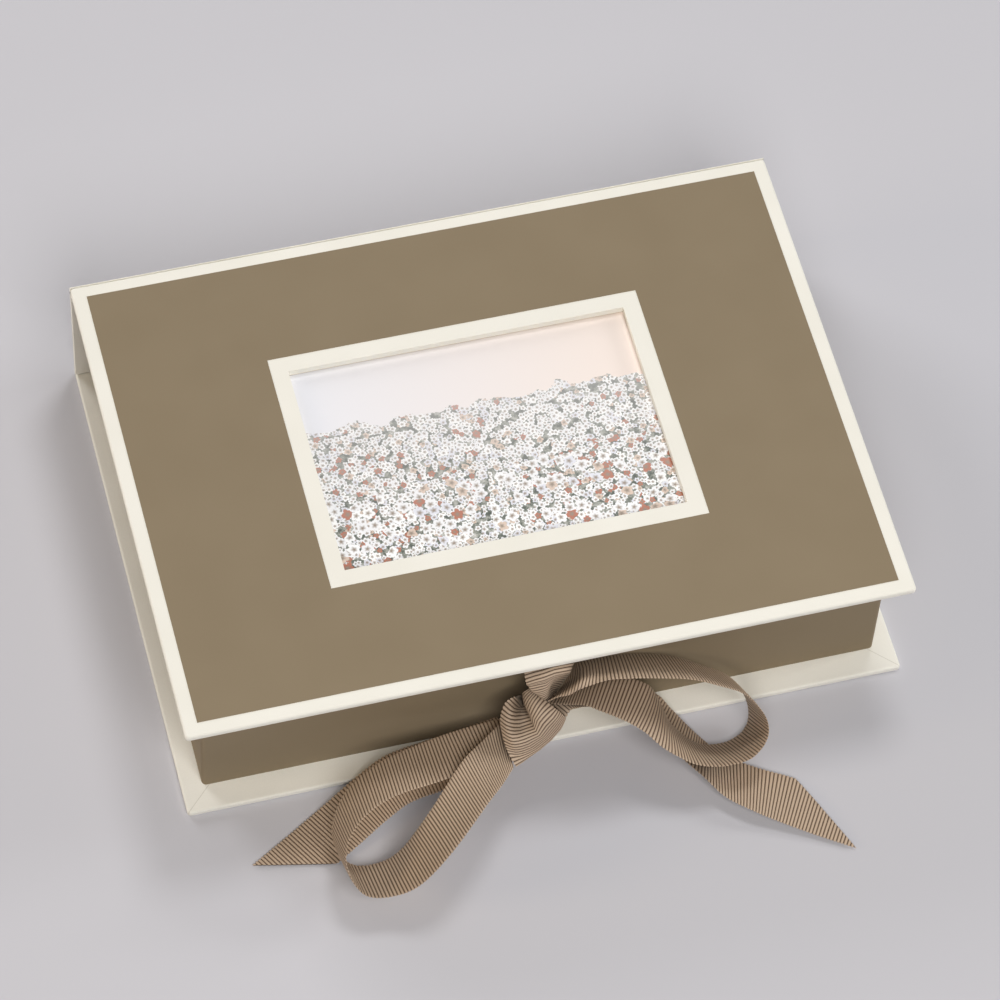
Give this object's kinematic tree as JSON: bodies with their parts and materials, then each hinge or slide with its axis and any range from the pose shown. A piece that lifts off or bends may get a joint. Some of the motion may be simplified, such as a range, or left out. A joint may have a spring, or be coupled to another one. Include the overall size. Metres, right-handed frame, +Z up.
{
  "type": "photo storage box",
  "caption": "Flat hard-cover box for prints: a book-like case round a tray, a picture window in the lid, closed by a ribbon bow at the front.",
  "frame": {"origin": "centre of the case's footprint on the surface it stands on", "axes": "+X to the right along the front, +Y back towards the spine, +Z up out of the lid; the bow is at -Y"},
  "size_m": [0.265, 0.2622, 0.0562],
  "materials": {
    "grey_board": "matte grey board",
    "cream_cover_paper": "matte, off-white, slightly warm",
    "taupe_paper": "matte taupe",
    "lining_paper": "matte light tan",
    "backing_card": "matte pale card",
    "print_paper": "semi-gloss print",
    "grosgrain_ribbon": "ribbed taupe-brown cloth ribbon"
  },
  "bodies": {
    "case_base": {"base_board": "grey_board", "base_cover_paper": "cream_cover_paper", "tray_bottom": "grey_board", "tray_front_wall": "grey_board", "tray_back_wall": "grey_board", "tray_left_wall": "grey_board", "tray_right_wall": "grey_board", "tray_wrap": "taupe_paper", "tray_lining": "lining_paper", "base_ribbon": "grosgrain_ribbon", "bow_knot": "grosgrain_ribbon", "bow_left_loop": "grosgrain_ribbon", "bow_right_loop": "grosgrain_ribbon", "bow_left_tail": "grosgrain_ribbon", "bow_right_tail": "grosgrain_ribbon"},
    "spine": {"spine_board": "grey_board", "spine_cover_paper": "cream_cover_paper", "spine_lining": "lining_paper", "base_hinge_strip": "cream_cover_paper", "lid_hinge_strip": "cream_cover_paper"},
    "lid": {"lid_board": "grey_board", "lid_cover_paper": "cream_cover_paper", "lid_panel": "taupe_paper", "lid_lining": "lining_paper", "pocket_spacer": "grey_board", "pocket_backing": "backing_card", "lid_ribbon": "grosgrain_ribbon"},
    "print": {"photo_print": "print_paper"}
  },
  "joints": [
    {"name": "spine_fold", "type": "hinge", "parent": "case_base", "child": "spine", "pos_m": [0, 0.0975, 0], "axis": [-1, 0, 0], "range_deg": [0, 90]},
    {"name": "lid_fold", "type": "hinge", "parent": "spine", "child": "lid", "pos_m": [0, 0.0975, 0.056], "axis": [-1, 0, 0], "range_deg": [0, 90]},
    {"name": "print_pull", "type": "slide", "parent": "lid", "child": "print", "axis": [1, 0, 0], "range_m": [0, 0.12]}
  ]
}
